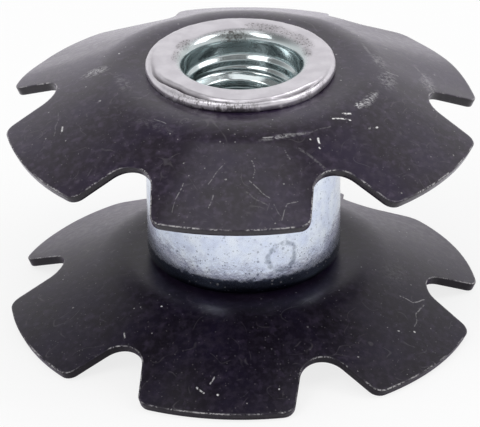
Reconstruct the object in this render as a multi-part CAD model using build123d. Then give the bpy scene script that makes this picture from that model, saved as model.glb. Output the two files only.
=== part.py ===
from build123d import *
import math
import os

# Star nut: two domed spring-steel stars held on a threaded steel core.
# Millimetres, +Z up the thread axis, origin on the axis at the level that the lower teeth stand on.

# The stars
tooth_count = 6
tip_radius = 13.0
sheet = 0.5
flat_radius = 6.2
bend_radius = 4.1
tooth_slope = 26.0
hole_radius = 4.4
star_spacing = 11.24
lower_star_turn = -4.2

# The notch between two teeth, measured on the sloping sheet
notch_centre_radius = 11.48
notch_end_radius = 1.45
notch_flare = 28.5
tooth_corner_radius = 0.75

# The core
sleeve_radius = 5.33
shoulder_round = 0.6
neck_radius = 4.35
rim_radius = 5.18
rim_height = 0.64
rim_edge_round = 0.28
rim_underside_bevel = 0.15

# The bore: an M6 nut thread's inner diameter. At each end a plain relief, then a wider mouth
thread_minor_radius = 2.5
relief_radius = 2.98
relief_depth = 1.93
mouth_radius = 3.2
mouth_depth = 1.37
mouth_lip_round = 0.6

# Worked out from the above
slope = math.radians(tooth_slope)
bend_end_radius = flat_radius + bend_radius * math.sin(slope)
bend_drop = bend_radius * (1 - math.cos(slope))
tip_drop = bend_drop + (tip_radius - bend_end_radius) * math.tan(slope)
lower_land = tip_drop + sheet * math.cos(slope)
upper_land = lower_land + star_spacing
core_middle = (upper_land + lower_land - sheet) / 2


def on_bend(radius, angle):
    """A point of the section, at an angle along the bend whose centre is under the land's edge."""
    return (flat_radius + radius * math.sin(angle), radius * math.cos(angle) - bend_radius)


def sheet_surface(bend, tip):
    """One side of the sheet from its hole to its tip: flat land, bend, straight slope."""
    height = bend - bend_radius
    land = Line((hole_radius, height), (flat_radius, height))
    curve = ThreePointArc(on_bend(bend, 0), on_bend(bend, slope / 2), on_bend(bend, slope))
    return [land, curve, Line(on_bend(bend, slope), tip)]


def domed_sheet():
    """The round dome before its notches are cut, with the top of its flat land at height 0."""
    top_tip = (tip_radius, -tip_drop)
    under_tip = (tip_radius - sheet * math.sin(slope), -tip_drop - sheet * math.cos(slope))
    edges = sheet_surface(bend_radius, top_tip) + sheet_surface(bend_radius - sheet, under_tip)
    edges.append(Line(top_tip, under_tip))
    edges.append(Line((hole_radius, 0), (hole_radius, -sheet)))
    section = make_face(Plane.XZ * Curve(edges))
    return revolve(section, Axis.Z)


def notch_tool():
    """A round-ended notch that flares outwards, square to the sloping sheet, pointing along +X."""
    flare = math.radians(notch_flare)
    reach = tip_radius - notch_centre_radius + 3 * notch_end_radius
    start_x = -notch_end_radius * math.sin(flare)
    start_y = notch_end_radius * math.cos(flare)
    end_x = start_x + reach * math.cos(flare)
    end_y = start_y + reach * math.sin(flare)
    mouth = Polygon(
        (start_x, -start_y), (end_x, -end_y), (end_x, end_y), (start_x, start_y), align=None
    )
    outline = Circle(notch_end_radius) + mouth
    drop = bend_drop + (notch_centre_radius - bend_end_radius) * math.tan(slope)
    on_sheet = Plane(
        origin=(notch_centre_radius, 0, -drop),
        x_dir=(math.cos(slope), 0, -math.sin(slope)),
        z_dir=(math.sin(slope), 0, math.cos(slope)),
    )
    return extrude(on_sheet * outline, 4 * sheet, both=True)


def is_tooth_corner(edge):
    """True for the short edges through the sheet where a notch's side meets the tooth's tip."""
    middle = edge.center()
    is_short = edge.length < 1.5 * sheet
    return is_short and math.hypot(middle.X, middle.Y) > tip_radius - sheet


def star(land_height, turn):
    """One star, with a tooth towards -Y before it is turned."""
    blank = domed_sheet()
    tool = notch_tool()
    for index in range(tooth_count):
        angle = -90 + (index + 0.5) * 360 / tooth_count
        blank -= Rot(0, 0, angle) * tool
    corners = blank.edges().filter_by(is_tooth_corner)
    blank = fillet(corners, tooth_corner_radius)
    return Pos(0, 0, land_height) * Rot(0, 0, turn) * blank


def rounded(section, corner, radius):
    """The flat section with its corner nearest to (radius, height) rounded."""
    vertex = section.vertices().sort_by_distance((corner[0], 0, corner[1]))[0]
    return fillet(vertex, radius)


def threaded_core():
    """The turned nut: sleeve, a neck through each star, and each end rolled over it as a rim."""
    grip_end = core_middle - lower_land + sheet
    seat = grip_end - sheet
    rim_top = grip_end + rim_height
    mouth_end = rim_top - mouth_depth
    relief_start = mouth_end - (mouth_radius - relief_radius)
    relief_end = rim_top - relief_depth
    thread_end = relief_end - (relief_radius - thread_minor_radius)
    half = make_face(
        Plane.XZ
        * Polyline(
            (thread_minor_radius, 0),
            (thread_minor_radius, thread_end),
            (relief_radius, relief_end),
            (relief_radius, relief_start),
            (mouth_radius, mouth_end),
            (mouth_radius, rim_top),
            (rim_radius, rim_top),
            (rim_radius, grip_end + rim_underside_bevel),
            (rim_radius - rim_underside_bevel, grip_end),
            (neck_radius, grip_end),
            (neck_radius, seat),
            (sleeve_radius, seat),
            (sleeve_radius, 0),
            close=True,
        )
    )
    half = rounded(half, (mouth_radius, rim_top), mouth_lip_round)
    half = rounded(half, (rim_radius, rim_top), rim_edge_round)
    half = rounded(half, (sleeve_radius, seat), shoulder_round)
    section = half + mirror(half, about=Plane.XY)
    return Pos(0, 0, core_middle) * revolve(section, Axis.Z)


nodes = {
    "threaded_core": threaded_core(),
    "upper_star_flange": star(upper_land, 0),
    "lower_star_flange": star(lower_land, lower_star_turn),
}

os.makedirs("parts", exist_ok=True)
for node, shape in nodes.items():
    export_step(shape, f"parts/{node}.step")
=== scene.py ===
import math

import bpy
import numpy as np
from mathutils import Matrix, Vector


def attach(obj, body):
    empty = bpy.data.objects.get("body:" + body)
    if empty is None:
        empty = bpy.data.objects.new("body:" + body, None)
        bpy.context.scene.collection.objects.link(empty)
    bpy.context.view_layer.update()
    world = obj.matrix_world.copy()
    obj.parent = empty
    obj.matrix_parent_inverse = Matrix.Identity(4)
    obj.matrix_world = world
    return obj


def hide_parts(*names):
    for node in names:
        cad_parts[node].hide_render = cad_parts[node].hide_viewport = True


# A star nut: two blackened spring-steel stars on a zinc-plated threaded core.
# Lengths below are in millimetres and angles in degrees, as in the CAD source. Meshes are scaled to metres.
# Angles round the nut run anticlockwise from +X, seen from above.
MM = 0.001

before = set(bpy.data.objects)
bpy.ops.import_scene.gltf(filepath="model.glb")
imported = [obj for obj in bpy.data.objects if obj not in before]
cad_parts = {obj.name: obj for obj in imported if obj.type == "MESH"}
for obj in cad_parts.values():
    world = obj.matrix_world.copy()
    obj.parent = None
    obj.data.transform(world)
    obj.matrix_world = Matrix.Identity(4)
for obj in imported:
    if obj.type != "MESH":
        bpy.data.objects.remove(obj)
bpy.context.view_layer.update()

# The stars
TOOTH_COUNT = 6
TIP_RADIUS = 13.0
SHEET = 0.5
FLAT_RADIUS = 6.2
BEND_RADIUS = 4.1
TOOTH_SLOPE = math.radians(26.0)
HOLE_RADIUS = 4.4
STAR_SPACING = 11.24
LOWER_STAR_TURN = -4.2
NOTCH_CENTRE_RADIUS = 11.48
NOTCH_END_RADIUS = 1.45
NOTCH_FLARE = math.radians(28.5)
TOOTH_CORNER_RADIUS = 0.75

# The cut face through the sheet: its rounded edges, and the levels between them as shares of the thickness
CUT_EDGE_ROUND = 0.055
CUT_EDGE_ANGLES = np.radians([25, 55, 90])
CUT_FACE_LEVELS = (0.35, 0.65)

# How far the tooth tips are bent up from the even slope: angle round the star, then the lift there
UPPER_TOOTH_LIFTS = [
    (0, -0.15),
    (12, -0.18),
    (32, 0.10),
    (42, 0.10),
    (60, 0.36),
    (72, 0.16),
    (90, 0.14),
    (107, 0.18),
    (118, -0.10),
    (127, -0.02),
    (150, 0.00),
    (165, 0.17),
    (190, 0.17),
    (222, 0.00),
    (345, 0.00),
    (360, -0.15),
]
LOWER_TOOTH_LIFTS = [
    (0, 0.0),
    (145, 0.0),
    (166, 0.1),
    (188, 0.1),
    (220, 0.0),
    (360, 0.0),
]

# The core
SLEEVE_RADIUS = 5.33
SHOULDER_ROUND = 0.6
NECK_RADIUS = 4.35
RIM_RADIUS = 5.18
RIM_HEIGHT = 0.64
RIM_EDGE_ROUND = 0.28
MOUTH_RADIUS = 3.2
MOUTH_DEPTH = 1.37
MOUTH_LIP_ROUND = 0.6
RELIEF_RADIUS = 2.98
RELIEF_DEPTH = 1.93

# Where the rolled rim tucks in under its edge: how far in from its radius, then how far off the star
RIM_UNDERSIDE = [
    (0.00, 0.22),
    (0.03, 0.13),
    (0.15, 0.07),
    (0.45, 0.00),
]

# The M6 thread in the bore, and its groove along one pitch: share of the pitch, share of the full depth
THREAD_PITCH = 1.0
THREAD_MINOR_RADIUS = 2.5
THREAD_ROOT_RADIUS = 3.0
THREAD_GROOVE = [
    (0.00, 1),
    (0.07, 1),
    (0.36, 0),
    (0.64, 0),
    (0.93, 1),
    (1.00, 1),
]

# The fold where the rim's rolled edge laps over, the same on both rims: angle, radius and depth
RIM_FOLD = [
    (165, 4.86, 0.00),
    (188, 4.86, 0.08),
    (203, 4.88, 0.20),
    (212, 4.82, 0.26),
    (226, 4.66, 0.28),
    (243, 4.76, 0.26),
    (252, 4.88, 0.14),
    (272, 4.96, 0.08),
    (292, 4.90, 0.10),
    (304, 4.86, 0.22),
    (320, 4.84, 0.24),
    (331, 4.90, 0.10),
    (348, 4.92, 0.00),
]
FOLD_WIDTH = 0.09
# The fold's depth at which its painted shade is full
FULL_FOLD = 0.24

# Outside the fold the rim stays lower, by a share of the fold's depth
FOLD_STEP = 0.45
FOLD_STEP_WIDTH = 0.02

# Waves that make the fold wander and the rolled edge uneven: how many round the rim, size, start in radians
FOLD_WANDER = [(11, 0.014, 0), (31, 0.008, 1)]
EDGE_RIPPLE = [(5, 0.35, 1), (13, 0.30, 0), (29, 0.20, 2), (53, 0.15, 0), (97, 0.10, 1)]

# The uneven edge: radii where it starts and is full, how far it drops and draws in, and its shift sideways
EDGE_START = 4.6
EDGE_FULL = 5.1
EDGE_DROP = 0.02
EDGE_PULL = 0.012
RIM_SHIFT = 0.08
RIM_SHIFT_ANGLE = 205

# Burrs under the edge: angles, how far they stand out, half their width in degrees, their height off the
# star and its spread, and the radius inside which there are none
BURR_ANGLES = (222, 229, 262, 283, 297, 318)
BURR_SIZE = 0.08
BURR_TURN = 0.8
BURR_HEIGHT = 0.12
BURR_SPREAD = 0.08
BURR_INNER_RADIUS = 5.0

# The rim's marks start this far off the star, and the sleeve's end within this distance of it
RIM_MARGIN = 0.02

# The camera, where the photograph was taken from. Its angles are in degrees, its lens in real millimetres
CAMERA_ELEVATION = 28.736
CAMERA_SWING = 3.4
CAMERA_ROLL = -0.71
CAMERA_DISTANCE = 278.918
CAMERA_AIM = (-0.2016, -0.012, 5.603)
CAMERA_LENS = 379.42
CAMERA_SENSOR = 36

# The studio, in metres. Each lamp: angle round the nut, rise above the horizon, width, height, brightness
LAMPS = {
    "right_lamp": (2, 49, 0.26, 0.36, 2.8),
    "left_lamp": (228, 50, 0.26, 0.36, 2.8),
    "top_lamp": (270, 86, 0.34, 0.34, 1.1),
}
LAMP_DISTANCE = 0.6
FLOOR_REACH = 2.0
FLOOR_COLOUR = (0.92, 0.92, 0.92, 1)
FLOOR_ROUGHNESS = 0.8

# The share of plain white in what the camera sees of the floor
FLOOR_GLOW = 0.8

# The surround's brightness: for plain light, then what gloss sees at the horizon and towards the dark side
ROOM_LEVEL = 0.6
HORIZON_LEVEL = 0.84
DARK_LEVEL = 0.25
DARK_SIDE = (-0.18, -0.30, 1.0)
DARK_FROM = 0.32
DARK_TO = 0.92

# How finely the meshes are divided
NOTCH_END_STEPS = 9
SIDE_STEPS = 10
CORNER_STEPS = 7
TIP_STEPS = 14
LAND_RINGS = 26
TOOTH_RINGS = 26
TOOTH_RINGS_START = 0.3
MOUTH_STEPS = 4
LIP_STEPS = 12
ROUND_STEPS = 9
RIM_TOP_STEPS = 26
SLEEVE_STEPS = 6
CORE_COLUMNS = 360
BORE_END_ROWS = 44
BORE_MIDDLE_ROWS = 44
BORE_END_LENGTH = 2.4

# Worked out from the above
BEND_END_RADIUS = FLAT_RADIUS + BEND_RADIUS * math.sin(TOOTH_SLOPE)
BEND_DROP = BEND_RADIUS * (1 - math.cos(TOOTH_SLOPE))
TIP_DROP = BEND_DROP + (TIP_RADIUS - BEND_END_RADIUS) * math.tan(TOOTH_SLOPE)
LOWER_LAND = TIP_DROP + SHEET * math.cos(TOOTH_SLOPE)
UPPER_LAND = LOWER_LAND + STAR_SPACING
CORE_MIDDLE = (UPPER_LAND + LOWER_LAND - SHEET) / 2
GRIP_END = CORE_MIDDLE - LOWER_LAND + SHEET
SEAT = GRIP_END - SHEET
RIM_TOP = GRIP_END + RIM_HEIGHT
MOUTH_END = RIM_TOP - MOUTH_DEPTH


def closed_grid(name, points, attributes):
    """A closed mesh from rows of points. Each row joins up with itself, and the last row with the first."""
    rows, columns = points.shape[:2]
    row = np.arange(rows)[:, None]
    column = np.arange(columns)[None, :]
    next_row = (row + 1) % rows
    next_column = (column + 1) % columns
    corners = [
        row * columns + column,
        next_row * columns + column,
        next_row * columns + next_column,
        row * columns + next_column,
    ]
    faces = np.stack(corners, axis=-1).reshape(-1, 4)
    mesh = bpy.data.meshes.new(name)
    mesh.from_pydata((points.reshape(-1, 3) * MM).tolist(), [], faces.tolist())
    for label, values in attributes.items():
        kind = "FLOAT_VECTOR" if values.ndim == 3 else "FLOAT"
        field = "vector" if values.ndim == 3 else "value"
        made = mesh.attributes.new(label, kind, "POINT")
        made.data.foreach_set(field, values.reshape(-1).astype(np.float32))
    mesh.polygons.foreach_set("use_smooth", np.ones(len(mesh.polygons), bool))
    mesh.update()
    piece = bpy.data.objects.new(name, mesh)
    bpy.context.scene.collection.objects.link(piece)
    return piece


def sheet_tilt(radius):
    """How far the sheet leans below level at a radius."""
    lean = np.clip((radius - FLAT_RADIUS) / BEND_RADIUS, 0, math.sin(TOOTH_SLOPE))
    return np.arcsin(lean)


def sheet_height(radius):
    """Height of the dome's top side at a radius, with its flat land at 0."""
    bend = BEND_RADIUS * (1 - np.cos(sheet_tilt(radius)))
    slope = np.maximum(radius - BEND_END_RADIUS, 0) * math.tan(TOOTH_SLOPE)
    return -(bend + slope)


def circle_points(angles):
    """Points on a circle of radius 1, as rows of x and y."""
    return np.stack([np.cos(angles), np.sin(angles)], axis=1)


def half_outline():
    """Half a notch and half the next tooth, on the slope laid flat. The notch points along +X."""
    centre = NOTCH_CENTRE_RADIUS / math.cos(TOOTH_SLOPE)
    tip = TIP_RADIUS / math.cos(TOOTH_SLOPE)
    along = np.array([math.cos(NOTCH_FLARE), math.sin(NOTCH_FLARE)])
    across = np.array([-math.sin(NOTCH_FLARE), math.cos(NOTCH_FLARE)])
    end_angles = np.linspace(math.pi, math.pi / 2 + NOTCH_FLARE, NOTCH_END_STEPS, endpoint=False)
    notch_end = NOTCH_END_RADIUS * circle_points(end_angles) + [centre, 0]
    side_start = np.array([centre, 0]) + across * NOTCH_END_RADIUS
    guide = side_start + across * TOOTH_CORNER_RADIUS
    reach = guide @ along
    side_length = -reach + math.sqrt(reach**2 - guide @ guide + (tip - TOOTH_CORNER_RADIUS) ** 2)
    side_share = np.linspace(0, 1, SIDE_STEPS, endpoint=False)[:, None]
    side = side_start + side_share * side_length * along
    corner = guide + side_length * along
    tip_angle = math.atan2(corner[1], corner[0])
    corner_angles = np.linspace(NOTCH_FLARE - math.pi / 2, tip_angle, CORNER_STEPS, endpoint=False)
    round_corner = corner + TOOTH_CORNER_RADIUS * circle_points(corner_angles)
    tooth_middle = math.pi / TOOTH_COUNT * math.cos(TOOTH_SLOPE)
    tip_angles = np.linspace(tip_angle, tooth_middle, TIP_STEPS)
    return np.concatenate([notch_end, side, round_corner, tip * circle_points(tip_angles)])


def star_outline(turn):
    """Radius and angle of each point round the cut outline, with a tooth towards -Y before the turn."""
    half = half_outline()
    radius = np.hypot(half[:, 0], half[:, 1]) * math.cos(TOOTH_SLOPE)
    angle = np.arctan2(half[:, 1], half[:, 0]) / math.cos(TOOTH_SLOPE)
    cell_radius = np.concatenate([radius[::-1], radius[1:]])[:-1]
    cell_angle = np.concatenate([-angle[::-1], angle[1:]])[:-1]
    radii = np.tile(cell_radius, TOOTH_COUNT)
    first = math.radians(turn - 90) + math.pi / TOOTH_COUNT
    cells = first + np.arange(TOOTH_COUNT) * 2 * math.pi / TOOTH_COUNT
    angles = (cells[:, None] + cell_angle[None, :]).reshape(-1)
    return radii, angles


def on_sheet(x, y):
    """Points of the dome's top side above x and y, and the sheet's direction there."""
    radius = np.hypot(x, y)
    tilt = sheet_tilt(radius)
    up = np.stack([np.sin(tilt) * x / radius, np.sin(tilt) * y / radius, np.cos(tilt)], axis=-1)
    return np.stack([x, y, sheet_height(radius)], axis=-1), up


def tooth_lift(x, y, lifts):
    """How far the sheet is bent up at x and y: nothing at the flat land, the full lift at the tips."""
    angles, heights = np.array(lifts).T
    turned = np.degrees(np.arctan2(y, x)) % 360
    place = np.interp(turned, angles, np.arange(len(angles)))
    before = np.clip(np.floor(place).astype(int), 0, len(angles) - 2)
    share = place - before
    share = share**2 * (3 - 2 * share)
    at_angle = heights[before] + (heights[before + 1] - heights[before]) * share
    outward = np.clip((np.hypot(x, y) - FLAT_RADIUS) / (TIP_RADIUS - FLAT_RADIUS), 0, 1)
    return at_angle * outward


def dome_rings(angles, edge_top, outward):
    """Rings of points on the dome's top side, from hole to cut edge, and the sheet's direction there."""
    rings = []
    for radius in np.linspace(HOLE_RADIUS, BEND_END_RADIUS + TOOTH_RINGS_START, LAND_RINGS):
        rings.append(on_sheet(radius * np.cos(angles), radius * np.sin(angles)))
    start = rings[-1][0]
    end = edge_top - outward * 3 * CUT_EDGE_ROUND
    for share in np.linspace(0, 1, TOOTH_RINGS)[1:]:
        spot = start + (end - start) * share
        rings.append(on_sheet(spot[:, 0], spot[:, 1]))
    last = edge_top - outward * CUT_EDGE_ROUND
    rings.append(on_sheet(last[:, 0], last[:, 1]))
    return rings


def cut_wall(edge_top, outward, up):
    """Rows of points down the cut face, square to the sheet, with its upper and lower edge rounded."""
    rounds = []
    for angle in CUT_EDGE_ANGLES:
        inward = CUT_EDGE_ROUND * (1 - math.sin(angle))
        down = CUT_EDGE_ROUND * (1 - math.cos(angle))
        rounds.append((inward, down))
    levels = [(0, SHEET * share) for share in CUT_FACE_LEVELS]
    lower_rounds = [(inward, SHEET - down) for inward, down in reversed(rounds)]
    return [edge_top - outward * inward - up * down for inward, down in rounds + levels + lower_rounds]


def star_piece(name, land_height, turn, lifts):
    """The whole star: hole, land, bend, teeth and cut edges, as one closed mesh."""
    radii, angles = star_outline(turn)
    edge_top, up = on_sheet(radii * np.cos(angles), radii * np.sin(angles))
    run = np.roll(edge_top, -1, axis=0) - np.roll(edge_top, 1, axis=0)
    outward = np.cross(run, up)
    outward /= np.linalg.norm(outward, axis=1)[:, None]
    rings = dome_rings(angles, edge_top, outward)
    top = [point for point, _ in rings]
    under = [point - SHEET * direction for point, direction in rings]
    wall = cut_wall(edge_top, outward, up)
    points = np.stack(top + wall + under[::-1])
    wall_start = len(top)
    face_start = wall_start + len(CUT_EDGE_ANGLES) - 1
    face_end = wall_start + len(wall) - len(CUT_EDGE_ANGLES) + 1
    worn_edge = np.zeros(points.shape[:2])
    worn_edge[wall_start - 1 : face_start] = 1
    cut_face = np.zeros(points.shape[:2])
    cut_face[face_start:face_end] = 1
    cut_line = np.broadcast_to(edge_top, points.shape)
    points[:, :, 2] += land_height + tooth_lift(points[:, :, 0], points[:, :, 1], lifts)
    return closed_grid(name, points, {"worn_edge": worn_edge, "cut_face": cut_face, "cut_line": cut_line})


def rounded(centre, top, size, first, last, steps):
    """Radius and height along a rounded corner of the section, under a top level."""
    angle = np.linspace(first, last, steps)
    return centre + size * np.cos(angle), top - size * (1 - np.sin(angle))


def core_section():
    """Radius and height of the turned section, from the upper mouth over the outside to the middle."""
    lip_centre = MOUTH_RADIUS + MOUTH_LIP_ROUND
    edge_centre = RIM_RADIUS - RIM_EDGE_ROUND
    shoulder_centre = SLEEVE_RADIUS - SHOULDER_ROUND
    mouth = np.linspace(MOUTH_END, RIM_TOP - MOUTH_LIP_ROUND, MOUTH_STEPS, endpoint=False)
    rim_face = np.linspace(lip_centre, edge_centre, RIM_TOP_STEPS)[1:-1]
    inward, off_star = np.array(RIM_UNDERSIDE).T
    sleeve = np.linspace(SEAT - SHOULDER_ROUND, 0, SLEEVE_STEPS)[1:]
    runs = [
        (np.full(mouth.shape, MOUTH_RADIUS), mouth),
        rounded(lip_centre, RIM_TOP, MOUTH_LIP_ROUND, math.pi, math.pi / 2, LIP_STEPS),
        (rim_face, np.full(rim_face.shape, RIM_TOP)),
        rounded(edge_centre, RIM_TOP, RIM_EDGE_ROUND, math.pi / 2, 0, ROUND_STEPS),
        (RIM_RADIUS - inward, GRIP_END + off_star),
        (np.array([NECK_RADIUS, NECK_RADIUS]), np.array([GRIP_END, SEAT])),
        rounded(shoulder_centre, SEAT, SHOULDER_ROUND, math.pi / 2, 0, ROUND_STEPS),
        (np.full(sleeve.shape, SLEEVE_RADIUS), sleeve),
    ]
    radius = np.concatenate([run[0] for run in runs])
    height = np.concatenate([run[1] for run in runs])
    return radius, height


def waves(angle, rows):
    """The sum of several waves round the rim."""
    return sum(size * np.sin(count * angle + start) for count, size, start in rows)


def rim_relief(radius, height, angle):
    """Radius and height with the rims' fold, uneven edge and burrs, and how much of the fold shows there,
    which sets its painted shade.
    """
    degrees = np.degrees(angle)
    fold_angles, fold_radii, fold_depths = np.array(RIM_FOLD).T
    fold_radius = np.interp(degrees, fold_angles, fold_radii) + waves(angle, FOLD_WANDER)
    fold_depth = np.interp(degrees, fold_angles, fold_depths)
    on_rim = np.abs(height) > GRIP_END + RIM_MARGIN
    groove = fold_depth * np.exp(-(((radius - fold_radius) / FOLD_WIDTH) ** 2))
    step = FOLD_STEP * fold_depth / (1 + np.exp((fold_radius - radius) / FOLD_STEP_WIDTH))
    on_edge = np.clip((radius - EDGE_START) / (EDGE_FULL - EDGE_START), 0, 1) * on_rim
    ripple = 1 + waves(angle, EDGE_RIPPLE)
    drop = (groove + step) * on_rim + on_edge * EDGE_DROP * ripple
    pull = on_edge * EDGE_PULL * ripple
    shift = on_edge * RIM_SHIFT * np.cos(angle - math.radians(RIM_SHIFT_ANGLE))
    low_edge = np.exp(-(((np.abs(height) - GRIP_END - BURR_HEIGHT) / BURR_SPREAD) ** 2))
    burrs = sum(np.exp(-(((degrees - burr) / BURR_TURN) ** 2)) for burr in BURR_ANGLES)
    burrs = BURR_SIZE * burrs * low_edge * (radius > BURR_INNER_RADIUS)
    return radius - pull + shift + burrs, height - drop * np.sign(height), groove * on_rim / FULL_FOLD


def bore_radius(height, angle):
    """The bore inside its mouths: a step in, a plain relief, a bevel and then the thread."""
    phase = height / THREAD_PITCH - angle / (2 * math.pi)
    shares, depths = np.array(THREAD_GROOVE).T
    groove = np.interp(phase % 1, shares, depths) * (THREAD_ROOT_RADIUS - THREAD_MINOR_RADIUS)
    depth = RIM_TOP - np.abs(height)
    thread = (THREAD_MINOR_RADIUS + groove) * (depth > RELIEF_DEPTH)
    step = MOUTH_RADIUS - (depth - MOUTH_DEPTH)
    relief = np.where(depth < RELIEF_DEPTH, RELIEF_RADIUS, RELIEF_RADIUS - (depth - RELIEF_DEPTH))
    return np.maximum(np.maximum(step, relief), thread)


def core_piece():
    """The turned core with its two rolled rims and its threaded bore."""
    radius, height = core_section()
    radius = np.concatenate([radius, radius[-2::-1]])
    height = np.concatenate([height, -height[-2::-1]])
    angle = np.arange(CORE_COLUMNS) * 2 * math.pi / CORE_COLUMNS
    outside_r = np.repeat(radius[:, None], CORE_COLUMNS, axis=1)
    outside_z = np.repeat(height[:, None], CORE_COLUMNS, axis=1)
    outside_r, outside_z, fold = rim_relief(outside_r, outside_z, angle)
    deep = MOUTH_END - BORE_END_LENGTH
    bore_z = np.concatenate([
        np.linspace(-MOUTH_END, -deep, BORE_END_ROWS, endpoint=False)[1:],
        np.linspace(-deep, deep, BORE_MIDDLE_ROWS, endpoint=False),
        np.linspace(deep, MOUTH_END, BORE_END_ROWS)[:-1],
    ])
    bore_z = np.repeat(bore_z[:, None], CORE_COLUMNS, axis=1)
    bore_r = bore_radius(bore_z, angle)
    all_r = np.concatenate([outside_r, bore_r])
    all_z = np.concatenate([outside_z, bore_z])
    points = np.stack([all_r * np.cos(angle), all_r * np.sin(angle), all_z + CORE_MIDDLE], axis=-1)
    # How much of the fold shows, which the zinc paints as shade
    fold = np.concatenate([fold, np.zeros(bore_r.shape)])
    return closed_grid("core", points, {"fold": fold})


# How far a scratch wavers from side to side, and how many times a millimetre
WAVER_SIZE = 0.5
WAVER_SCALE = 0.7


class Shade:
    """Short calls for building one material's node tree. Places are in millimetres."""

    def __init__(self, name):
        self.material = bpy.data.materials.new(name)
        self.material.use_nodes = True
        self.tree = self.material.node_tree
        self.shader = self.tree.nodes["Principled BSDF"]
        coordinates = self.tree.nodes.new("ShaderNodeTexCoord")
        self.place = self.vector("SCALE", coordinates.outputs["Object"], scale=1 / MM)
        split = self.add("ShaderNodeSeparateXYZ", Vector=self.place)
        self.height = split.outputs["Z"]
        self.flat = self.vector("MULTIPLY", self.place, (1, 1, 0))
        self.radius = self.vector("LENGTH", self.flat)
        waver = self.add("ShaderNodeTexNoise", Vector=self.flat, Scale=WAVER_SCALE, Detail=1.0)
        sway = self.vector("SUBTRACT", waver.outputs["Color"], (0.5, 0.5, 0.5))
        sway = self.vector("MULTIPLY", sway, (WAVER_SIZE, WAVER_SIZE, 0))
        self.wavering = self.vector("ADD", self.flat, sway)

    def set(self, settings):
        """Constant values on the shader's own sockets."""
        for socket, value in settings.items():
            self.shader.inputs[socket].default_value = value

    def feed(self, socket, value):
        """Link another node's output to a socket, or set the socket to a plain value."""
        if isinstance(value, bpy.types.NodeSocket):
            self.tree.links.new(value, socket)
        else:
            socket.default_value = value

    def add(self, kind, settings=None, **inputs):
        """A node of that kind, with its settings and its inputs by name. A _ stands for a space."""
        node = self.tree.nodes.new(kind)
        for key, value in (settings or {}).items():
            setattr(node, key, value)
        for key, value in inputs.items():
            self.feed(node.inputs[key.replace("_", " ")], value)
        return node

    def math(self, operation, first, second=0.0, clamp=False):
        """One step of arithmetic on one or two numbers."""
        node = self.add("ShaderNodeMath", {"operation": operation, "use_clamp": clamp})
        self.feed(node.inputs[0], first)
        self.feed(node.inputs[1], second)
        return node.outputs[0]

    def vector(self, operation, first, second=None, scale=None):
        """One step of arithmetic on one or two vectors. A length comes out as a number."""
        node = self.add("ShaderNodeVectorMath", {"operation": operation})
        self.feed(node.inputs[0], first)
        if second is not None:
            self.feed(node.inputs[1], second)
        if scale is not None:
            self.feed(node.inputs["Scale"], scale)
        return node.outputs["Value" if operation == "LENGTH" else "Vector"]

    def most(self, *values):
        """The largest of several numbers."""
        result = values[0]
        for value in values[1:]:
            result = self.math("MAXIMUM", result, value)
        return result

    def times(self, *values):
        """Several numbers multiplied."""
        result = values[0]
        for value in values[1:]:
            result = self.math("MULTIPLY", result, value)
        return result

    def level(self, share, first, second):
        """A number between two numbers. Sockets 2 and 3 of a mix node are the ones for numbers."""
        node = self.add("ShaderNodeMix", {"data_type": "FLOAT"})
        self.feed(node.inputs[0], share)
        self.feed(node.inputs[2], first)
        self.feed(node.inputs[3], second)
        return node.outputs[0]

    def blend(self, share, first, second):
        """A colour between two colours. Sockets 6 and 7 of a mix node are the ones for colours."""
        node = self.add("ShaderNodeMix", {"data_type": "RGBA"})
        self.feed(node.inputs[0], share)
        self.feed(node.inputs[6], first)
        self.feed(node.inputs[7], second)
        return node.outputs[2]

    def layers(self, colour, layers):
        """The colour with other colours laid over it in turn, each by its own share."""
        for share, layer in layers:
            colour = self.blend(share, colour, layer)
        return colour

    def ramp(self, value, low, high):
        """0 below low and 1 above high, smoothly. Low may be above high."""
        node = self.add("ShaderNodeMapRange", {"interpolation_type": "SMOOTHSTEP"}, Value=value)
        self.feed(node.inputs["From Min"], low)
        self.feed(node.inputs["From Max"], high)
        return node.outputs["Result"]

    def noise(self, scale, detail, place=None, shift=0.0):
        """Soft noise from 0 to 1, with about scale features a millimetre."""
        offset = (shift, 1.7 * shift, 0.6 * shift)
        where = self.vector("ADD", self.place if place is None else place, offset)
        node = self.add("ShaderNodeTexNoise", Vector=where, Scale=scale, Detail=detail)
        return node.outputs["Fac"]

    def specks(self, scale, size, amount, shift):
        """Small round dots in a share of the cells of a grid with scale cells a millimetre."""
        where = self.vector("ADD", self.place, (shift, shift, shift))
        cells = self.add("ShaderNodeTexVoronoi", Vector=where, Scale=scale)
        split = self.add("ShaderNodeSeparateXYZ", Vector=cells.outputs["Color"])
        chosen = self.math("LESS_THAN", split.outputs["X"], amount)
        width = self.math("MULTIPLY", split.outputs["Y"], size)
        dot = self.math("LESS_THAN", cells.outputs["Distance"], width)
        return self.math("MULTIPLY", chosen, dot)

    def streaks(self, turn, length, width, low, bend, shift):
        """Hairline scratches of about that length and width, running at an angle seen from above."""
        wander = self.add("ShaderNodeTexNoise", Vector=self.flat, Scale=0.45, Detail=1.0)
        sway = self.vector("SCALE", wander.outputs["Color"], scale=bend)
        bent = self.vector("ADD", self.flat, sway)
        mapped = self.add("ShaderNodeMapping", Vector=bent)
        mapped.inputs["Location"].default_value = (shift, shift, 0)
        mapped.inputs["Rotation"].default_value = (0, 0, math.radians(turn))
        mapped.inputs["Scale"].default_value = (1 / length, 1 / width, 1)
        lines = self.add("ShaderNodeTexNoise", Vector=mapped.outputs[0], Scale=1.0, Detail=1.0)
        return self.ramp(lines.outputs["Fac"], low, low + 0.05)

    def threads(self, scale, width, shift):
        """Thin wandering lines, where soft noise crosses its middle value."""
        field = self.noise(scale, 1.0, shift=shift)
        away = self.math("ABSOLUTE", self.math("SUBTRACT", field, 0.5))
        return self.ramp(away, width, width / 3)

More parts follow.
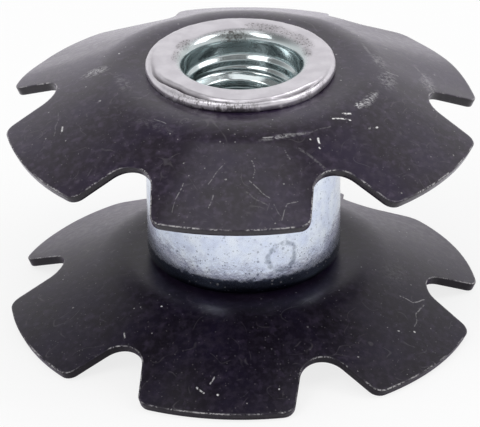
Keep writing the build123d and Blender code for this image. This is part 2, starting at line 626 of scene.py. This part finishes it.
    def scratch(self, start_x, start_y, end_x, end_y, width):
        """1 along a slightly wavering scratch between two places seen from above, 0 beside it."""
        run = Vector((end_x - start_x, end_y - start_y, 0))
        mapped = self.add("ShaderNodeMapping", {"vector_type": "TEXTURE"}, Vector=self.wavering)
        mapped.inputs["Location"].default_value = (start_x, start_y, 0)
        mapped.inputs["Rotation"].default_value = (0, 0, math.atan2(run.y, run.x))
        split = self.add("ShaderNodeSeparateXYZ", Vector=mapped.outputs[0])
        nearest = self.math("MINIMUM", self.math("MAXIMUM", split.outputs["X"], 0.0), run.length)
        beyond = self.math("SUBTRACT", split.outputs["X"], nearest)
        away = self.add("ShaderNodeCombineXYZ", X=beyond, Y=split.outputs["Y"])
        return self.ramp(self.vector("LENGTH", away.outputs[0]), width, width / 4)

    def spot(self, angle, radius, across, outward):
        """1 in the middle of an oval patch, 0 outside it. It lies at an angle and radius seen from above."""
        turn = math.radians(angle)
        mapped = self.add("ShaderNodeMapping", {"vector_type": "TEXTURE"}, Vector=self.flat)
        mapped.inputs["Location"].default_value = (radius * math.cos(turn), radius * math.sin(turn), 0)
        mapped.inputs["Rotation"].default_value = (0, 0, turn)
        mapped.inputs["Scale"].default_value = (outward, across, 1)
        distance = self.vector("LENGTH", mapped.outputs[0])
        return self.ramp(distance, 1.0, 0.3)

    def spots(self, places):
        """The strongest of several oval patches. Each is angle, radius, across, outward and strength."""
        result = 0.0
        for angle, radius, across, outward, strength in places:
            result = self.most(result, self.times(self.spot(angle, radius, across, outward), strength))
        return result

    def mark(self, name, part="Fac"):
        """A value that the mesh carries at each of its points."""
        node = self.add("ShaderNodeAttribute", {"attribute_name": name})
        return node.outputs[part]

    def bump(self, height, strength, distance):
        """Small relief from a height."""
        node = self.add("ShaderNodeBump", Height=height, Strength=strength, Distance=distance * MM)
        self.feed(self.shader.inputs["Normal"], node.outputs[0])

    def finish(self, colour, roughness):
        """The material, with its colour and roughness in place."""
        self.feed(self.shader.inputs["Base Color"], colour)
        self.feed(self.shader.inputs["Roughness"], roughness)
        return self.material


# Scuffed patches: angle, radius, size round the axis, size outwards, strength
UPPER_SCUFFS = [
    (331, 7.45, 0.55, 0.28, 0.9),
    (338, 7.58, 1.30, 0.34, 0.6),
    (290, 7.65, 1.80, 0.20, 0.35),
    (179, 8.00, 0.60, 1.00, 0.5),
    (196, 6.60, 1.60, 0.50, 0.12),
    (10, 10.2, 1.60, 0.60, 0.22),
    (358, 7.90, 1.30, 0.70, 0.25),
    (13, 7.60, 1.20, 0.50, 0.20),
    (235, 7.60, 2.20, 0.40, 0.06),
]
LOWER_SCUFFS = [
    (352, 8.40, 1.60, 1.00, 0.06),
]

# Scratches and bright dots, seen from above: start x and y, end x and y, width, strength to the eye
UPPER_SCRATCHES = [
    (1.5, -7.5, 2.1, -7.3, 0.06, 0.6),
    (2.3, -7.4, 3.8, -6.7, 0.07, 0.4),
    (3.8, -6.7, 5.0, -5.9, 0.06, 0.3),
    (5.2, -5.3, 6.1, -5.0, 0.07, 1.0),
    (5.7, -4.7, 6.1, -4.5, 0.08, 1.0),
    (1.0, -9.0, 1.1, -9.9, 0.04, 0.5),
    (0.9, -10.1, 2.0, -11.0, 0.04, 0.45),
    (0.8, -10.8, 1.9, -11.4, 0.06, 0.25),
    (-0.4, -9.1, -1.3, -10.3, 0.04, 0.4),
    (-2.6, -10.2, -3.0, -11.1, 0.04, 0.45),
    (-3.0, -11.1, -3.1, -11.9, 0.04, 0.35),
    (-1.0, -11.0, -1.1, -11.6, 0.05, 0.45),
    (3.4, -10.9, 2.9, -11.2, 0.04, 0.45),
    (2.9, -11.2, 2.8, -12.2, 0.04, 0.4),
    (3.4, -7.8, 4.9, -8.7, 0.10, 0.3),
    (2.2, -11.3, 2.8, -12.1, 0.04, 0.3),
    (2.7, -8.0, 3.0, -8.5, 0.05, 0.4),
    (-4.4, -5.7, -3.7, -6.2, 0.05, 0.4),
    (-9.5, -4.3, -9.5, -4.6, 0.07, 0.9),
    (-9.8, -2.8, -9.9, -4.7, 0.04, 0.3),
    (6.4, 3.5, 7.3, 1.5, 0.14, 0.3),
    (9.4, 3.4, 10.4, 0.9, 0.10, 0.35),
    (7.9, 0.7, 8.4, 0.8, 0.06, 0.5),
    (4.0, -7.1, 4.0, -7.1, 0.08, 0.9),
    (4.4, -6.9, 4.5, -7.2, 0.08, 1.0),
    (4.5, -7.5, 4.5, -7.5, 0.09, 1.0),
    (7.1, -5.0, 7.1, -5.1, 0.08, 0.9),
    (7.5, -4.9, 7.5, -4.9, 0.10, 1.0),
    (-6.8, 1.8, -6.8, 1.8, 0.09, 0.8),
    (-7.5, -3.1, -7.6, -3.1, 0.08, 0.6),
]
LOWER_SCRATCHES = [
    (8.7, -3.0, 9.4, -3.1, 0.05, 0.6),
    (9.4, -3.1, 10.1, -2.5, 0.05, 0.6),
    (10.0, -3.0, 9.6, -4.1, 0.05, 0.5),
    (9.6, -4.1, 9.6, -5.0, 0.04, 0.4),
    (-2.0, -11.3, -1.5, -11.7, 0.06, 0.9),
    (-1.1, -10.9, -1.3, -11.2, 0.06, 0.7),
    (-6.2, -7.3, -6.2, -7.7, 0.06, 0.8),
    (8.7, -5.8, 8.7, -5.8, 0.08, 0.8),
    (9.6, -5.4, 9.6, -5.4, 0.09, 1.0),
    (-4.2, -6.1, -4.2, -6.1, 0.09, 1.0),
    (-0.7, -11.8, -0.7, -11.8, 0.10, 1.0),
    (2.4, -11.3, 2.4, -11.3, 0.07, 0.8),
    (3.8, -7.4, 3.8, -7.4, 0.07, 0.6),
]

# Fine hairs: the scale, width and shift of their noise, then the scale, shift and threshold of their patches
HAIRLINES = [
    (0.35, 0.006, 13, 0.9, 27, 0.54),
    (0.50, 0.009, 37, 0.8, 41, 0.56),
    (0.40, 0.007, 61, 1.0, 53, 0.54),
]

# Each star's darkest and paler colour, its gloss, the strength and roughness of its thin oily coat, and a
# shift that makes its noise differ from the other star's
UPPER_STEEL = {
    "darkest": (0.011, 0.007, 0.014, 1),
    "paler": (0.031, 0.023, 0.040, 1),
    "gloss": 0.08,
    "coat": 0.78,
    "coat_roughness": 0.16,
    "shift": 0,
    "scuffs": UPPER_SCUFFS,
    "scratches": UPPER_SCRATCHES,
}
# The lower star's colours are darker than the upper's: painted shade, where the upper star shades it
LOWER_STEEL_SHADED = {
    "darkest": (0.006, 0.004, 0.009, 1),
    "paler": (0.020, 0.015, 0.028, 1),
    "gloss": 0.12,
    "coat": 0.45,
    "coat_roughness": 0.32,
    "shift": 40,
    "scuffs": LOWER_SCUFFS,
    "scratches": LOWER_SCRATCHES,
}

# Colours on both stars. A tint multiplies a colour
PURPLE_TINT = (1.3, 1.2, 1.9)
SMUDGE_TINT = (1.9, 1.9, 1.9)
FINE_DUST = (0.16, 0.15, 0.16, 1)
PALE_DUST = (0.34, 0.33, 0.34, 1)
SCRATCHED_STEEL = (0.80, 0.79, 0.80, 1)
RUBBED_STEEL = (0.68, 0.67, 0.69, 1)
CUT_FACE_DARK = (0.003, 0.001, 0.005, 1)
CUT_FACE_PALE = (0.013, 0.008, 0.016, 1)


def tinted(colour, tint):
    """The colour with its red, green and blue multiplied by the tint's."""
    return (colour[0] * tint[0], colour[1] * tint[1], colour[2] * tint[2], 1)


def hairlines(shade):
    """Fine wandering scratches that show only in patches."""
    result = 0.0
    for scale, width, shift, patch_scale, patch_shift, low in HAIRLINES:
        patches = shade.ramp(shade.noise(patch_scale, 2.0, shift=patch_shift), low, low + 0.12)
        result = shade.most(result, shade.times(shade.threads(scale, width, shift), patches))
    return result


def scratch_marks(shade, scratches):
    """The listed scratches, broken up along them. Strength is to the eye, so it is squared for light."""
    result = 0.0
    for start_x, start_y, end_x, end_y, width, strength in scratches:
        mark = shade.scratch(start_x, start_y, end_x, end_y, width)
        result = shade.most(result, shade.times(mark, strength**2))
    broken = shade.ramp(shade.noise(7.0, 2.0, shift=44), 0.34, 0.56)
    return shade.times(result, broken)


def scuff_marks(shade, scuffs):
    """The listed scuffs, each a patch of short streaks in two directions."""
    rub = shade.most(
        shade.streaks(50, 0.3, 0.03, 0.50, bend=0.2, shift=2),
        shade.streaks(100, 0.2, 0.03, 0.52, bend=0.2, shift=7),
    )
    ragged = shade.ramp(shade.noise(5.0, 4.0, shift=15), 0.40, 0.56)
    return shade.times(shade.spots(scuffs), rub, ragged)


def worn_edges(shade):
    """Where the cut edges are worn bright, in patches of small nicks."""
    patches = shade.ramp(shade.noise(1.3, 3.0, shift=19), 0.40, 0.62)
    nicks = shade.ramp(shade.noise(9.0, 2.0, shift=6), 0.38, 0.55)
    return shade.times(shade.ramp(shade.mark("worn_edge"), 0.55, 0.95), patches, nicks)


def cut_face_colour(shade):
    """Two dark colours, streaked straight down the cut face."""
    drag = shade.noise(9.0, 2.0, place=shade.mark("cut_line", "Vector"))
    return shade.blend(shade.ramp(drag, 0.45, 0.8), CUT_FACE_DARK, CUT_FACE_PALE)


def black_steel(name, look):
    """Blackened spring steel: dark and slightly purple, dusty, scratched and worn bright at its edges."""
    shade = Shade(name)
    shade.set({
        "Specular IOR Level": look["gloss"],
        "Specular Tint": (1.0, 0.93, 1.0, 1),
        "Coat Weight": look["coat"],
        "Coat Roughness": look["coat_roughness"],
        "Sheen Weight": 0.12,
        "Sheen Roughness": 0.35,
        "Sheen Tint": (0.65, 0.35, 1.0, 1),
    })
    shade.place = shade.vector("ADD", shade.place, (look["shift"], look["shift"], look["shift"]))
    clouds = shade.noise(0.35, 3.0)
    mottle = shade.noise(2.6, 5.0, shift=9)
    grain = shade.noise(12.0, 3.0, shift=4)
    smudges = shade.ramp(shade.noise(2.2, 6.0, shift=66), 0.52, 0.72)
    fine_dust = shade.specks(7.0, size=0.30, amount=0.25, shift=8)
    dust = shade.specks(2.6, size=0.16, amount=0.20, shift=5)
    colour = shade.layers(look["darkest"], [
        (shade.ramp(clouds, 0.35, 0.68), tinted(look["darkest"], PURPLE_TINT)),
        (shade.times(shade.ramp(mottle, 0.42, 0.72), 0.8), look["paler"]),
        (shade.times(smudges, 0.5), tinted(look["paler"], SMUDGE_TINT)),
        (shade.times(hairlines(shade), 0.2), FINE_DUST),
        (shade.times(fine_dust, 0.4), FINE_DUST),
        (shade.times(dust, 0.6), PALE_DUST),
        (scratch_marks(shade, look["scratches"]), SCRATCHED_STEEL),
        (scuff_marks(shade, look["scuffs"]), RUBBED_STEEL),
        (worn_edges(shade), PALE_DUST),
        (shade.mark("cut_face"), cut_face_colour(shade)),
    ])
    relief = shade.math("ADD", grain, shade.times(mottle, 1.5))
    shade.bump(relief, strength=0.4, distance=0.014)
    return shade.finish(colour, shade.level(shade.ramp(mottle, 0.3, 0.7), 0.30, 0.42))


# Grime on the mouths' lips: angle, radius, size round the axis, size outwards, strength
LIP_GRIME = [
    (100, 3.36, 1.40, 0.42, 1.0),
    (74, 3.95, 1.70, 0.60, 0.8),
    (55, 3.95, 1.20, 0.45, 0.6),
    (38, 3.90, 1.60, 0.55, 0.7),
    (154, 3.65, 0.90, 0.42, 0.8),
    (176, 3.60, 1.00, 0.34, 0.6),
    (16, 3.65, 0.90, 0.34, 0.65),
]

# Where the rims' edges are scored by the tool that rolled them, in the same five numbers
SCORED_RIM = [
    (255, 5.10, 4.20, 1.50, 1.0),
    (322, 5.10, 1.80, 1.20, 0.7),
]

# A faint ring on the sleeve: the place of its middle, its radius, and how much that varies
RING_MARK_PLACE = (2.35, -4.8, 5.6)
RING_MARK_RADIUS = 0.82
RING_MARK_WAVER = 0.3

# The band of painted dark reflection at each end of the sleeve, where the dark star is mirrored: its width,
# and how much its edge wanders
REFLECTION_BAND_WIDTH = 1.05
REFLECTION_BAND_WAVER = 0.6

# Distances from the star where the sleeve's speckling starts to grow and is strongest
SPECKLED_FROM = 3.6
SPECKLED_FULL = 1.3

# Radii where the bore's green-blue tone starts and is full, and the same for the rim's rolled edge
BORE_TONE_FROM = 3.75
BORE_TONE_FULL = 3.3
BEAD_FROM = 4.86
BEAD_FULL = 5.0

# Colours of the zinc and its marks, with the painted shade in the folds and the painted dark reflection at
# the sleeve's ends
SILVER = [(0.72, 0.69, 0.74, 1), (0.83, 0.80, 0.85, 1)]
SLEEVE_BLUE = [(0.72, 0.79, 0.96, 1), (0.84, 0.90, 1.0, 1)]
BORE_TEAL = (0.59, 0.65, 0.66, 1)
SCORED_GREY = (0.17, 0.155, 0.165, 1)
# Painted shade in the rims' folds
FOLD_PAINTED_SHADE = (0.08, 0.07, 0.08, 1)
GRIME_BROWN = (0.06, 0.052, 0.045, 1)
BLOOM_BLUE = (0.50, 0.54, 0.70, 1)
RING_MARK_GREY = (0.32, 0.36, 0.44, 1)
PIT_BLUE = (0.10, 0.12, 0.19, 1)
# Painted reflection of the dark star at the sleeve's ends: navy, with pale crumbs on it
PAINTED_REFLECTION_NAVY = (0.12, 0.145, 0.21, 1)
BAND_CRUMB = (0.85, 0.87, 0.90, 1)

# Roughness of the zinc's parts
RIM_ROUGHNESS = 0.34
BEAD_ROUGHNESS = 0.36
SLEEVE_ROUGHNESS = 0.14
BORE_ROUGHNESS = 0.13


def rim_scoring(shade, on_bead):
    """Fine tool marks on the rims' rolled edges."""
    coarse = shade.noise(2.2, 2.0, shift=22)
    fine = shade.noise(12.0, 4.0, place=shade.vector("MULTIPLY", shade.place, (1, 1, 0.35)))
    marks = shade.ramp(shade.math("ADD", fine, coarse), 0.94, 1.16)
    return shade.times(marks, on_bead, shade.spots(SCORED_RIM))


def lip_grime(shade, on_rim):
    """Dark crumbs, blots and a thin smear on the mouths' lips."""
    where = shade.spots(LIP_GRIME)
    crumbs = shade.most(
        shade.specks(7.0, size=0.55, amount=0.55, shift=14),
        shade.specks(12.0, size=0.60, amount=0.60, shift=19),
    )
    crumbs = shade.times(crumbs, shade.ramp(where, 0.05, 0.5), 0.7)
    blots = shade.math("SUBTRACT", where, shade.times(shade.noise(7.0, 8.0, shift=14), 1.8))
    blots = shade.ramp(blots, -0.10, 0.25)
    smear = shade.times(where, 0.4)
    return shade.times(shade.most(crumbs, blots, smear), on_rim)


def ring_mark(shade):
    """The faint ring, uneven and partly worn away."""
    around = shade.vector("LENGTH", shade.vector("SUBTRACT", shade.place, RING_MARK_PLACE))
    waver = shade.times(shade.noise(1.6, 4.0, shift=20), RING_MARK_WAVER)
    radius = shade.math("ADD", RING_MARK_RADIUS - RING_MARK_WAVER / 2, waver)
    away = shade.math("ABSOLUTE", shade.math("SUBTRACT", around, radius))
    worn_away = shade.times(shade.ramp(shade.noise(3.5, 5.0, shift=33), 0.56, 0.34), 0.7)
    return shade.math("SUBTRACT", shade.ramp(away, 0.24, 0.04), worn_away, clamp=True)


def sleeve_pits(shade):
    """Small dark pits of two sizes."""
    return shade.most(
        shade.specks(4.5, size=0.36, amount=0.35, shift=3),
        shade.specks(8.0, size=0.42, amount=0.40, shift=12),
    )


def painted_reflection_band(shade, from_middle):
    """1 in the ragged band of painted dark reflection at each end of the sleeve, 0 between them."""
    waver = shade.times(shade.noise(3.0, 4.0, shift=28), REFLECTION_BAND_WAVER)
    start = shade.math("ADD", SEAT - REFLECTION_BAND_WIDTH - REFLECTION_BAND_WAVER / 2, waver)
    return shade.ramp(shade.math("SUBTRACT", from_middle, start), -0.08, 0.08)


def zinc():
    """Blue-white zinc plate: silver on the rims, bluer on the sleeve and green-blue deep in the bore, with
    painted shade in the rims' folds and a painted dark reflection at the sleeve's ends.
    """
    shade = Shade("zinc_plate")
    shade.set({"Metallic": 1})
    from_middle = shade.math("ABSOLUTE", shade.math("SUBTRACT", shade.height, CORE_MIDDLE))
    on_sleeve = shade.times(
        shade.ramp(shade.radius, HOLE_RADIUS - 0.1, HOLE_RADIUS + 0.1),
        shade.ramp(from_middle, GRIP_END + RIM_MARGIN, GRIP_END - RIM_MARGIN),
    )
    near_star = shade.ramp(from_middle, SEAT - SPECKLED_FROM, SEAT - SPECKLED_FULL)
    in_bore = shade.ramp(shade.radius, BORE_TONE_FROM, BORE_TONE_FULL)
    on_rim = shade.ramp(from_middle, GRIP_END + RIM_MARGIN, GRIP_END + 3 * RIM_MARGIN)
    on_bead = shade.times(on_rim, shade.ramp(shade.radius, BEAD_FROM, BEAD_FULL))
    mottle = shade.noise(1.1, 4.0)
    grain = shade.noise(9.0, 3.0, shift=4)
    scoring = rim_scoring(shade, on_bead)
    grime = lip_grime(shade, on_rim)
    bloom = shade.times(shade.ramp(shade.noise(2.4, 5.0, shift=17), 0.48, 0.70), on_sleeve)
    # Painted reflection: a dark navy band at each end of the sleeve, where the star is mirrored
    reflection_band = shade.times(painted_reflection_band(shade, from_middle), on_sleeve)
    band_crumbs = shade.specks(5.0, size=0.36, amount=0.40, shift=31)
    silver = shade.blend(shade.ramp(mottle, 0.35, 0.7), *SILVER)
    colour = shade.layers(silver, [
        (on_sleeve, shade.blend(shade.ramp(mottle, 0.3, 0.7), *SLEEVE_BLUE)),
        (in_bore, BORE_TEAL),
        (shade.times(scoring, 0.8), SCORED_GREY),
        # Painted shade in the rims' folds
        (shade.times(shade.mark("fold"), 0.9), FOLD_PAINTED_SHADE),
        (shade.times(grime, 0.85), GRIME_BROWN),
        (shade.times(bloom, shade.level(near_star, 0.35, 0.6)), BLOOM_BLUE),
        (shade.times(ring_mark(shade), 0.8), RING_MARK_GREY),
        (shade.times(sleeve_pits(shade), on_sleeve, shade.level(near_star, 0.35, 0.65)), PIT_BLUE),
        (reflection_band, shade.blend(band_crumbs, PAINTED_REFLECTION_NAVY, BAND_CRUMB)),
    ])
    rough = shade.level(on_sleeve, RIM_ROUGHNESS, SLEEVE_ROUGHNESS)
    rough = shade.level(on_bead, rough, BEAD_ROUGHNESS)
    rough = shade.level(in_bore, rough, BORE_ROUGHNESS)
    rough = shade.math("ADD", rough, shade.times(shade.ramp(grain, 0.4, 0.7), 0.06))
    rough = shade.math("ADD", rough, shade.times(grime, 0.3))
    dents = shade.times(shade.noise(1.8, 2.0, shift=51), on_sleeve, 5.0)
    relief = shade.math("ADD", grain, shade.times(mottle, 2.0))
    relief = shade.math("ADD", relief, dents)
    relief = shade.math("ADD", relief, shade.times(scoring, 3.0))
    shade.bump(relief, strength=0.3, distance=0.008)
    return shade.finish(colour, rough)


def place_camera():
    """The camera stands where the photograph was taken from."""
    elevation = math.radians(CAMERA_ELEVATION)
    swing = math.radians(CAMERA_SWING)
    roll = math.radians(CAMERA_ROLL)
    level = math.cos(elevation)
    back = Vector((math.sin(swing) * level, -math.cos(swing) * level, math.sin(elevation)))
    right = Vector((math.cos(swing), math.sin(swing), 0))
    up = back.cross(right)
    rolled_right = right * math.cos(roll) + up * math.sin(roll)
    rolled_up = up * math.cos(roll) - right * math.sin(roll)
    turn = Matrix((rolled_right, rolled_up, back)).transposed().to_4x4()
    data = bpy.data.cameras.new("camera")
    data.sensor_width = CAMERA_SENSOR
    data.lens = CAMERA_LENS
    data.clip_start = 0.01
    data.clip_end = 10
    camera = bpy.data.objects.new("camera", data)
    place = Vector(CAMERA_AIM) + back * CAMERA_DISTANCE
    camera.matrix_world = Matrix.Translation(place * MM) @ turn
    bpy.context.scene.collection.objects.link(camera)
    bpy.context.scene.camera = camera


def soft_lamp(name, angle, rise, width, height, brightness):
    """A soft lamp, aimed at the nut from an angle round it and a rise above the horizon."""
    turn = math.radians(angle)
    lift = math.radians(rise)
    spot = Vector((math.cos(turn) * math.cos(lift), math.sin(turn) * math.cos(lift), math.sin(lift)))
    data = bpy.data.lights.new(name, "AREA")
    data.shape = "RECTANGLE"
    data.size = width
    data.size_y = height
    data.energy = brightness * math.pi * width * height
    lamp = bpy.data.objects.new(name, data)
    lamp.visible_camera = False
    lamp.location = spot * LAMP_DISTANCE
    lamp.rotation_euler = spot.to_track_quat("Z", "Y").to_euler()
    bpy.context.scene.collection.objects.link(lamp)


def floor_piece():
    """A large pale floor under the nut. From below it isn't there, so that the underside can be seen."""
    reach = FLOOR_REACH
    corners = [(-reach, -reach, 0), (reach, -reach, 0), (reach, reach, 0), (-reach, reach, 0)]
    mesh = bpy.data.meshes.new("floor")
    mesh.from_pydata(corners, [], [(0, 1, 2, 3)])
    floor = bpy.data.objects.new("floor", mesh)
    bpy.context.scene.collection.objects.link(floor)
    shade = Shade("pale_floor")
    shade.set({"Specular IOR Level": 0})
    shade.finish(FLOOR_COLOUR, FLOOR_ROUGHNESS)
    rays = shade.add("ShaderNodeLightPath")
    glow = shade.add("ShaderNodeEmission")
    side = shade.add("ShaderNodeNewGeometry")
    clear = shade.add("ShaderNodeBsdfTransparent")
    lit = shade.add("ShaderNodeMixShader")
    shade.feed(lit.inputs[0], shade.times(rays.outputs["Is Camera Ray"], FLOOR_GLOW))
    shade.feed(lit.inputs[1], shade.shader.outputs[0])
    shade.feed(lit.inputs[2], glow.outputs[0])
    seen = shade.add("ShaderNodeMixShader")
    shade.feed(seen.inputs[0], side.outputs["Backfacing"])
    shade.feed(seen.inputs[1], lit.outputs[0])
    shade.feed(seen.inputs[2], clear.outputs[0])
    shade.feed(shade.tree.nodes["Material Output"].inputs["Surface"], seen.outputs[0])
    mesh.materials.append(shade.material)


def studio_world():
    """A white surround. Gloss sees it darker overhead and towards the camera's side of the studio."""
    world = bpy.data.worlds.new("studio")
    bpy.context.scene.world = world
    world.use_nodes = True
    tree = world.node_tree
    background = tree.nodes["Background"]
    background.inputs["Color"].default_value = (1, 1, 1, 1)
    rays = tree.nodes.new("ShaderNodeLightPath")
    direction = tree.nodes.new("ShaderNodeTexCoord")
    towards = tree.nodes.new("ShaderNodeVectorMath")
    towards.operation = "DOT_PRODUCT"
    towards.inputs[1].default_value = DARK_SIDE
    tree.links.new(direction.outputs["Generated"], towards.inputs[0])
    sky = tree.nodes.new("ShaderNodeMapRange")
    sky.interpolation_type = "SMOOTHSTEP"
    sky.inputs["From Min"].default_value = DARK_FROM
    sky.inputs["From Max"].default_value = DARK_TO
    sky.inputs["To Min"].default_value = HORIZON_LEVEL
    sky.inputs["To Max"].default_value = DARK_LEVEL
    tree.links.new(towards.outputs["Value"], sky.inputs["Value"])
    unseen = tree.nodes.new("ShaderNodeMix")
    unseen.inputs[2].default_value = ROOM_LEVEL
    tree.links.new(rays.outputs["Is Glossy Ray"], unseen.inputs[0])
    tree.links.new(sky.outputs["Result"], unseen.inputs[3])
    white = tree.nodes.new("ShaderNodeMath")
    white.operation = "MAXIMUM"
    tree.links.new(rays.outputs["Is Camera Ray"], white.inputs[0])
    tree.links.new(rays.outputs["Is Transmission Ray"], white.inputs[1])
    level = tree.nodes.new("ShaderNodeMix")
    level.inputs[3].default_value = 1.0
    tree.links.new(white.outputs[0], level.inputs[0])
    tree.links.new(unseen.outputs[0], level.inputs[2])
    tree.links.new(level.outputs[0], background.inputs["Strength"])


upper = star_piece("upper_star", UPPER_LAND, 0, UPPER_TOOTH_LIFTS)
lower = star_piece("lower_star", LOWER_LAND, LOWER_STAR_TURN, LOWER_TOOTH_LIFTS)
core = core_piece()
upper.data.materials.append(black_steel("black_steel_upper", UPPER_STEEL))
# The lower star's steel carries painted shade
lower.data.materials.append(black_steel("black_steel_lower_painted_shade", LOWER_STEEL_SHADED))
core.data.materials.append(zinc())
for piece, node, slot in (
    (upper, "upper_star_flange", "black_spring_steel_upper"),
    (lower, "lower_star_flange", "black_spring_steel_lower"),
    (core, "threaded_core", "zinc_plated_steel"),
):
    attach(piece, "root")
    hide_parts(node)

place_camera()
floor_piece()
studio_world()
for lamp_name, lamp_place in LAMPS.items():
    soft_lamp(lamp_name, *lamp_place)
bpy.context.scene.view_settings.view_transform = "Standard"
